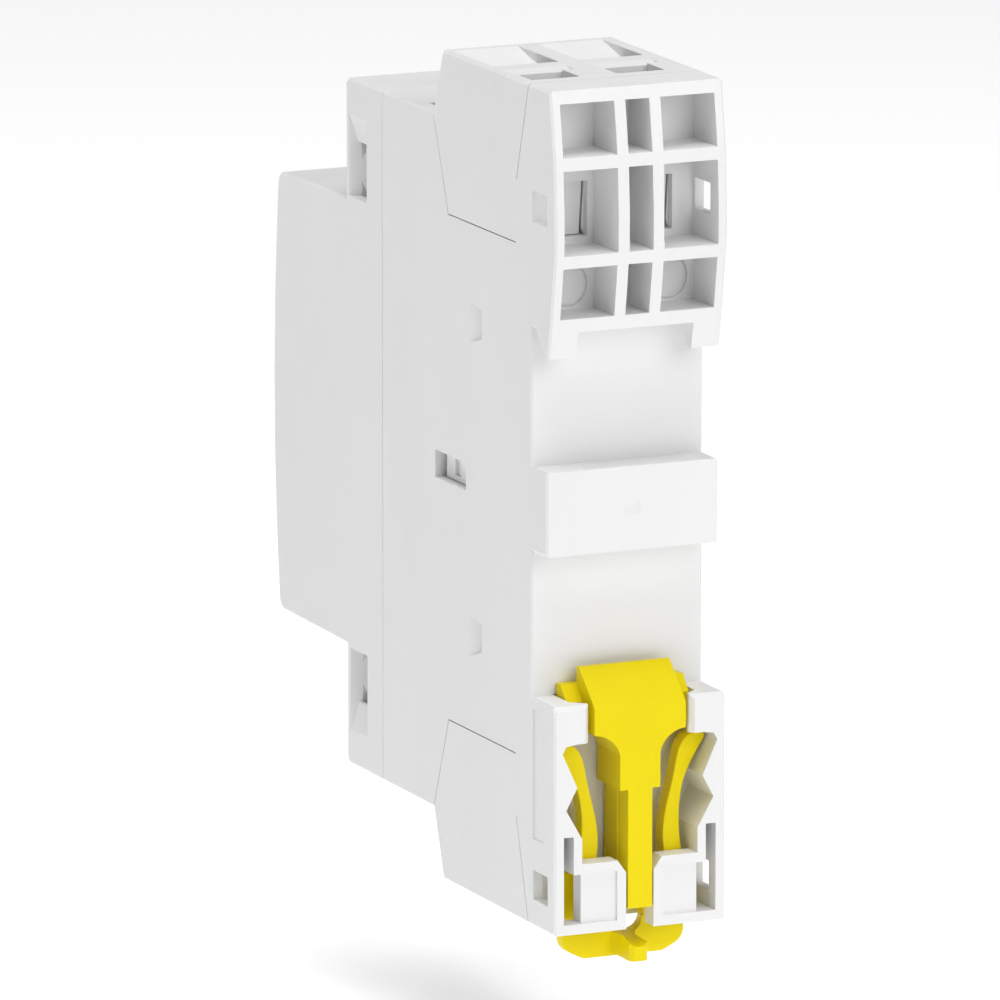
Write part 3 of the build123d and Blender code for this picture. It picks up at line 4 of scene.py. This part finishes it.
import bpy
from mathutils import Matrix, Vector


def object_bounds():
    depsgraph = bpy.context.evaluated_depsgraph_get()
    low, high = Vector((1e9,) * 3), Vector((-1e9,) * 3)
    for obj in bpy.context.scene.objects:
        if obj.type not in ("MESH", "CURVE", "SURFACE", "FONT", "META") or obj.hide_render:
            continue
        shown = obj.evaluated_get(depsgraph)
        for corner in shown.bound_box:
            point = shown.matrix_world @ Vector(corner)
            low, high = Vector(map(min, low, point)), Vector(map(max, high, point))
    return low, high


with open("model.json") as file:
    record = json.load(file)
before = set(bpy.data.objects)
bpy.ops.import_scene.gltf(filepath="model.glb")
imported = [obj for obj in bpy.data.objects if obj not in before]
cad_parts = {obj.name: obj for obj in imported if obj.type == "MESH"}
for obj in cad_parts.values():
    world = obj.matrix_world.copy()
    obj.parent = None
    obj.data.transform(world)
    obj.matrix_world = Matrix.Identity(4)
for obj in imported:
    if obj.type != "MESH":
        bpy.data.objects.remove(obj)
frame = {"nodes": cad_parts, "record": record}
cad_low, cad_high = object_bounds()

MM = 0.001

# Camera: its direction from the object, its distance and its aim beside the rail seat.
CAMERA_AZIMUTH = 24.113
CAMERA_ELEVATION = 11.907
CAMERA_DISTANCE = 1280.33 * MM
CAMERA_RIGHT = -11.211 * MM
CAMERA_UP = -0.185 * MM
SENSOR = 36.0
CAMERA_LENS = 13.3826 * SENSOR
CLIP_START = 0.05
CLIP_END = 50

# Noise gives most of its values between these two.
NOISE_LOW = 0.3
NOISE_HIGH = 0.7

# Lamination: sheets 0.5 mm thick, light and dark in turn, so each is half a wave (pi radians).
# A wave node turns through 20 radians per metre at a scale of 1.
SHEETS_PER_METRE = 2000.0
WAVE_TURN = 20.0

# Edge rounding.
WELD_DISTANCE = 0.001 * MM
FLAT_ANGLE = 0.6
SHARP_ANGLE = 28.0
EDGE_SEGMENTS = 2

# Stage and light.
FLOOR_DROP = 14 * MM
FLOOR_SIZE = 6.0
FLOOR_TONE = 0.93
FLOOR_ROUGHNESS = 0.9
FLOOR_GLOW = 0.33
WORLD_STRENGTH = 0.17
LIGHT_AIM = (0, -0.02, 0)
LIGHTS = [
    ("key", (-0.25, 1.0, 0.5), 0.7, 5.3),
    ("top", (0.1, 0.1, 1.1), 0.8, 10.6),
    ("fill", (1.0, -0.45, 0.2), 0.8, 1.7),
]

# ------------------------------------------------------------------ materials


def new_material(name):
    """An empty material with its shader and output joined."""
    material = bpy.data.materials.new(name)
    material.use_nodes = True
    tree = material.node_tree
    return material, tree, tree.nodes["Principled BSDF"]


def object_noise(tree, scale, detail=2.0, roughness=0.5, stretch=(1, 1, 1)):
    """Noise in the object's own coordinates, in cells per metre."""
    coordinates = tree.nodes.new("ShaderNodeTexCoord")
    mapping = tree.nodes.new("ShaderNodeMapping")
    mapping.inputs["Scale"].default_value = stretch
    noise = tree.nodes.new("ShaderNodeTexNoise")
    noise.inputs["Scale"].default_value = scale
    noise.inputs["Detail"].default_value = detail
    noise.inputs["Roughness"].default_value = roughness
    tree.links.new(coordinates.outputs["Object"], mapping.inputs["Vector"])
    tree.links.new(mapping.outputs["Vector"], noise.inputs["Vector"])
    return noise


def spread(tree, source, low, high):
    """Map a noise value from its usual range to a range of values."""
    node = tree.nodes.new("ShaderNodeMapRange")
    node.inputs["From Min"].default_value = NOISE_LOW
    node.inputs["From Max"].default_value = NOISE_HIGH
    node.inputs["To Min"].default_value = low
    node.inputs["To Max"].default_value = high
    tree.links.new(source, node.inputs["Value"])
    return node.outputs["Result"]


def two_tones(tree, source, dark, light):
    """Mix two near colours by a noise value."""
    ramp = tree.nodes.new("ShaderNodeValToRGB")
    ramp.color_ramp.elements[0].position = NOISE_LOW
    ramp.color_ramp.elements[0].color = (*dark, 1)
    ramp.color_ramp.elements[1].position = NOISE_HIGH
    ramp.color_ramp.elements[1].color = (*light, 1)
    tree.links.new(source, ramp.inputs["Fac"])
    return ramp.outputs["Color"]


def bump(tree, shader, height, strength, distance, under=None):
    """Add a bump to the shader, on top of another one if given."""
    node = tree.nodes.new("ShaderNodeBump")
    node.inputs["Strength"].default_value = strength
    node.inputs["Distance"].default_value = distance
    tree.links.new(height, node.inputs["Height"])
    if under is not None:
        tree.links.new(under.outputs["Normal"], node.inputs["Normal"])
    tree.links.new(node.outputs["Normal"], shader.inputs["Normal"])
    return node


def moulded(
    name,
    dark,
    light,
    rough_low,
    rough_high,
    grain=4200.0,
    grain_depth=0.012 * MM,
    subsurface=0.0,
    specular=0.5,
):
    """Injection-moulded plastic: spark-eroded grain, faint flow tone and a slightly uneven gloss."""
    material, tree, shader = new_material(name)
    shader.inputs["Specular IOR Level"].default_value = specular
    flow = object_noise(tree, 55.0, 3.0, 0.55, (1.0, 1.0, 0.35))
    tree.links.new(two_tones(tree, flow.outputs["Fac"], dark, light), shader.inputs["Base Color"])
    patches = object_noise(tree, 420.0, 4.0, 0.6)
    tree.links.new(spread(tree, patches.outputs["Fac"], rough_low, rough_high), shader.inputs["Roughness"])
    fine = object_noise(tree, grain, 3.0, 0.6)
    bump(tree, shader, fine.outputs["Fac"], 0.35, grain_depth)
    shader.inputs["Subsurface Weight"].default_value = subsurface
    shader.inputs["Subsurface Radius"].default_value = (1.0, 0.9, 0.75)
    shader.inputs["Subsurface Scale"].default_value = 0.4 * MM
    return material


def metal(name, dark, light, rough_low, rough_high, stretch, grain=2600.0):
    """Drawn, rolled or plated metal with fine lines along one direction."""
    material, tree, shader = new_material(name)
    shader.inputs["Metallic"].default_value = 1.0
    lines = object_noise(tree, grain, 4.0, 0.6, stretch)
    tree.links.new(two_tones(tree, lines.outputs["Fac"], dark, light), shader.inputs["Base Color"])
    clouds = object_noise(tree, 300.0, 3.0, 0.5)
    tree.links.new(spread(tree, clouds.outputs["Fac"], rough_low, rough_high), shader.inputs["Roughness"])
    bump(tree, shader, lines.outputs["Fac"], 0.25, 0.01 * MM)
    return material


def clear_plastic(name):
    """Clear moulded flap, lightly scuffed."""
    material, tree, shader = new_material(name)
    shader.inputs["Base Color"].default_value = (0.93, 0.95, 0.96, 1)
    shader.inputs["Transmission Weight"].default_value = 0.85
    shader.inputs["IOR"].default_value = 1.5
    scuffs = object_noise(tree, 900.0, 5.0, 0.6, (1.0, 1.0, 0.2))
    tree.links.new(spread(tree, scuffs.outputs["Fac"], 0.04, 0.16), shader.inputs["Roughness"])
    bump(tree, shader, scuffs.outputs["Fac"], 0.08, 0.01 * MM)
    return material


def laminated(name):
    """Stack of electrical steel sheets, 0.5 mm each, seen on edge."""
    material, tree, shader = new_material(name)
    shader.inputs["Metallic"].default_value = 1.0
    coordinates = tree.nodes.new("ShaderNodeTexCoord")
    sheets = tree.nodes.new("ShaderNodeTexWave")
    sheets.wave_type = "BANDS"
    sheets.bands_direction = "X"
    sheets.inputs["Scale"].default_value = SHEETS_PER_METRE / WAVE_TURN * math.pi
    sheets.inputs["Distortion"].default_value = 0.3
    tree.links.new(coordinates.outputs["Object"], sheets.inputs["Vector"])
    tree.links.new(
        two_tones(tree, sheets.outputs["Fac"], (0.16, 0.165, 0.17), (0.42, 0.43, 0.45)),
        shader.inputs["Base Color"],
    )
    clouds = object_noise(tree, 500.0, 3.0, 0.5)
    tree.links.new(spread(tree, clouds.outputs["Fac"], 0.32, 0.5), shader.inputs["Roughness"])
    bump(tree, shader, sheets.outputs["Fac"], 0.5, 0.03 * MM)
    return material


def make_materials():
    """One finished material for each slot of the record."""
    return {
        "housing_plastic": moulded(
            "housing_plastic", (0.77, 0.77, 0.772), (0.80, 0.80, 0.802), 0.42, 0.52, subsurface=0.03
        ),
        "clip_plastic": moulded(
            "clip_plastic",
            (0.78, 0.625, 0.002),
            (0.82, 0.665, 0.003),
            0.36,
            0.46,
            grain=3000.0,
            grain_depth=0.006 * MM,
            specular=0.14,
        ),
        "inner_plastic": moulded("inner_plastic", (0.018, 0.018, 0.02), (0.03, 0.03, 0.033), 0.4, 0.55),
        "former_plastic": moulded(
            "former_plastic", (0.60, 0.58, 0.50), (0.68, 0.66, 0.58), 0.35, 0.5, subsurface=0.1
        ),
        "clear_plastic": clear_plastic("clear_plastic"),
        "lens_plastic": moulded(
            "lens_plastic", (0.50, 0.012, 0.008), (0.58, 0.02, 0.012), 0.12, 0.2, 1500.0, 0.002 * MM
        ),
        "flag_plastic": moulded("flag_plastic", (0.62, 0.03, 0.02), (0.70, 0.04, 0.025), 0.4, 0.5),
        "zinc_steel": metal("zinc_steel", (0.56, 0.57, 0.58), (0.70, 0.71, 0.72), 0.26, 0.42, (1, 0.25, 1)),
        "lamination": laminated("lamination"),
        "copper": metal("copper", (0.70, 0.40, 0.27), (0.82, 0.50, 0.36), 0.28, 0.42, (1, 0.3, 0.3)),
        "winding": metal(
            "winding", (0.34, 0.11, 0.04), (0.55, 0.20, 0.07), 0.25, 0.35, (0.1, 1, 0.1), 5000.0
        ),
        "silver": metal("silver", (0.78, 0.77, 0.74), (0.88, 0.87, 0.85), 0.22, 0.34, (1, 1, 1)),
        "spring_steel": metal("spring_steel", (0.48, 0.49, 0.50), (0.62, 0.63, 0.64), 0.22, 0.34, (1, 1, 1)),
        "pad_rubber": moulded("pad_rubber", (0.012, 0.012, 0.012), (0.02, 0.02, 0.02), 0.6, 0.75),
    }


def dress_nodes(materials):
    """Give every CAD node the finished material of its slot."""
    slots = {entry["node"]: entry["material_slot"] for entry in frame["record"]["subparts"]}
    for name, node in frame["nodes"].items():
        node.data.materials.clear()
        node.data.materials.append(materials[slots[name]])


# ------------------------------------------------------------------ edges


def soften(name, width):
    """Round the sharp edges of a moulded piece a little, as its tool leaves them."""
    node = frame["nodes"][name]
    weld = node.modifiers.new("weld", "WELD")
    weld.merge_threshold = WELD_DISTANCE
    flat = node.modifiers.new("flat", "DECIMATE")
    flat.decimate_type = "DISSOLVE"
    flat.angle_limit = math.radians(FLAT_ANGLE)
    edge = node.modifiers.new("edge", "BEVEL")
    edge.width = width
    edge.segments = EDGE_SEGMENTS
    edge.limit_method = "ANGLE"
    edge.angle_limit = math.radians(SHARP_ANGLE)
    edge.use_clamp_overlap = True
    shade = node.modifiers.new("shade", "WEIGHTED_NORMAL")
    shade.keep_sharp = True


EDGES = {
    "base_housing": 0.06 * MM,
    "front_cover": 0.07 * MM,
    "terminal_cover_upper": 0.06 * MM,
    "terminal_cover_lower": 0.06 * MM,
    "rail_clip": 0.14 * MM,
    "rail_clip_spring_arms": 0.12 * MM,
}

# ------------------------------------------------------------------ stage


def add_stage():
    """Plain pale floor a little below the object."""
    floor_z = cad_low.z - FLOOR_DROP
    material, _, shader = new_material("stage")
    shader.inputs["Base Color"].default_value = (FLOOR_TONE, FLOOR_TONE, FLOOR_TONE, 1)
    shader.inputs["Roughness"].default_value = FLOOR_ROUGHNESS
    shader.inputs["Emission Color"].default_value = (1, 1, 1, 1)
    shader.inputs["Emission Strength"].default_value = FLOOR_GLOW
    mesh = bpy.data.meshes.new("floor")
    size = FLOOR_SIZE
    corners = [(-size, -size, floor_z), (size, -size, floor_z), (size, size, floor_z), (-size, size, floor_z)]
    mesh.from_pydata(corners, [], [(0, 1, 2, 3)])
    floor = bpy.data.objects.new("floor", mesh)
    floor.data.materials.append(material)
    bpy.context.scene.collection.objects.link(floor)


def area_light(name, place, size, power):
    """A soft square light."""
    data = bpy.data.lights.new(name, "AREA")
    data.shape = "SQUARE"
    data.size = size
    data.energy = power
    light = bpy.data.objects.new(name, data)
    light.location = place
    light.rotation_euler = (Vector(LIGHT_AIM) - Vector(place)).to_track_quat("-Z", "Y").to_euler()
    bpy.context.scene.collection.objects.link(light)


def add_lights():
    """Even studio light, a little stronger on the rail side than on the side wall."""
    world = bpy.data.worlds.new("studio")
    world.use_nodes = True
    world.node_tree.nodes["Background"].inputs["Color"].default_value = (1, 1, 1, 1)
    world.node_tree.nodes["Background"].inputs["Strength"].default_value = WORLD_STRENGTH
    bpy.context.scene.world = world
    for name, place, size, power in LIGHTS:
        area_light(name, place, size, power)


def add_camera():
    """Camera behind the device, to the right of its rail side."""
    azimuth = math.radians(CAMERA_AZIMUTH)
    elevation = math.radians(CAMERA_ELEVATION)
    back = Vector(
        (
            math.sin(azimuth) * math.cos(elevation),
            math.cos(azimuth) * math.cos(elevation),
            math.sin(elevation),
        )
    )
    facing = (-back).to_track_quat("-Z", "Y")
    right = facing @ Vector((1, 0, 0))
    up = facing @ Vector((0, 1, 0))
    data = bpy.data.cameras.new("camera")
    data.sensor_width = SENSOR
    data.lens = CAMERA_LENS
    data.clip_start = CLIP_START
    data.clip_end = CLIP_END
    camera = bpy.data.objects.new("camera", data)
    camera.location = back * CAMERA_DISTANCE + right * CAMERA_RIGHT + up * CAMERA_UP
    camera.rotation_mode = "QUATERNION"
    camera.rotation_quaternion = facing
    bpy.context.scene.collection.objects.link(camera)
    bpy.context.scene.camera = camera


add_camera()
MATERIALS = make_materials()
dress_nodes(MATERIALS)
for node_name, edge_width in EDGES.items():
    soften(node_name, edge_width)
add_stage()
add_lights()
bpy.context.scene.view_settings.view_transform = "Standard"
